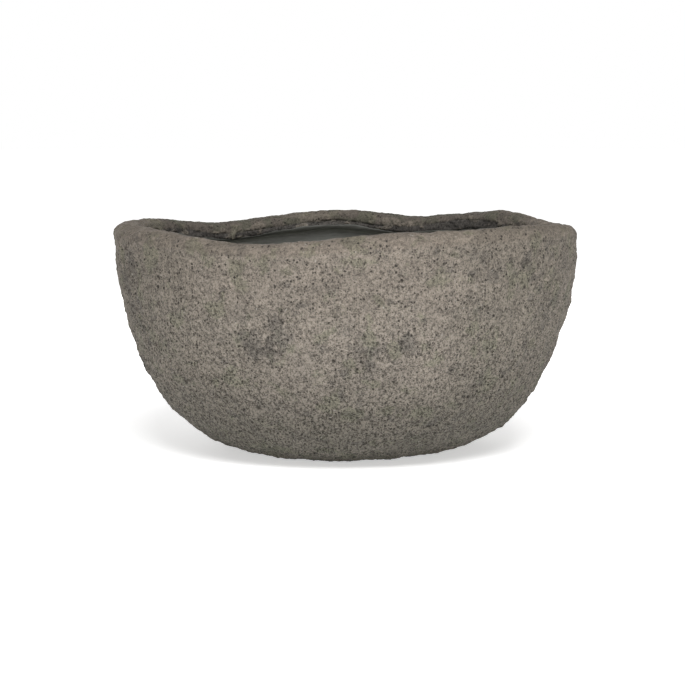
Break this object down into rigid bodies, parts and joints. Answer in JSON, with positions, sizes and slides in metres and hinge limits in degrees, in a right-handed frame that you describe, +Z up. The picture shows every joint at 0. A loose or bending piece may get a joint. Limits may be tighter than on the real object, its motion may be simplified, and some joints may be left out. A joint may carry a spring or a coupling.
{
  "type": "bowl planter",
  "caption": "Round, thick-walled concrete bowl planter with a rough surface, a heavy waving lip, a smooth lined inside and a stoppered drain hole.",
  "frame": {"origin": "on the floor under the bowl's centre, which is also the drain hole's axis", "axes": "+Z up; -Y is the side that faces the viewer in the picture, +X is to that viewer's right"},
  "size_m": [0.6, 0.6, 0.2987],
  "materials": {
    "concrete": "matte",
    "lining": "matte",
    "rubber": "matte"
  },
  "bodies": {
    "bowl": {"bowl_shell": "concrete", "inner_lining": "lining"},
    "stopper": {"drain_plug": "rubber"}
  },
  "joints": [
    {"name": "stopper_lift", "type": "slide", "parent": "bowl", "child": "stopper", "axis": [0, 0, 1], "range_m": [0, 0.31]}
  ]
}
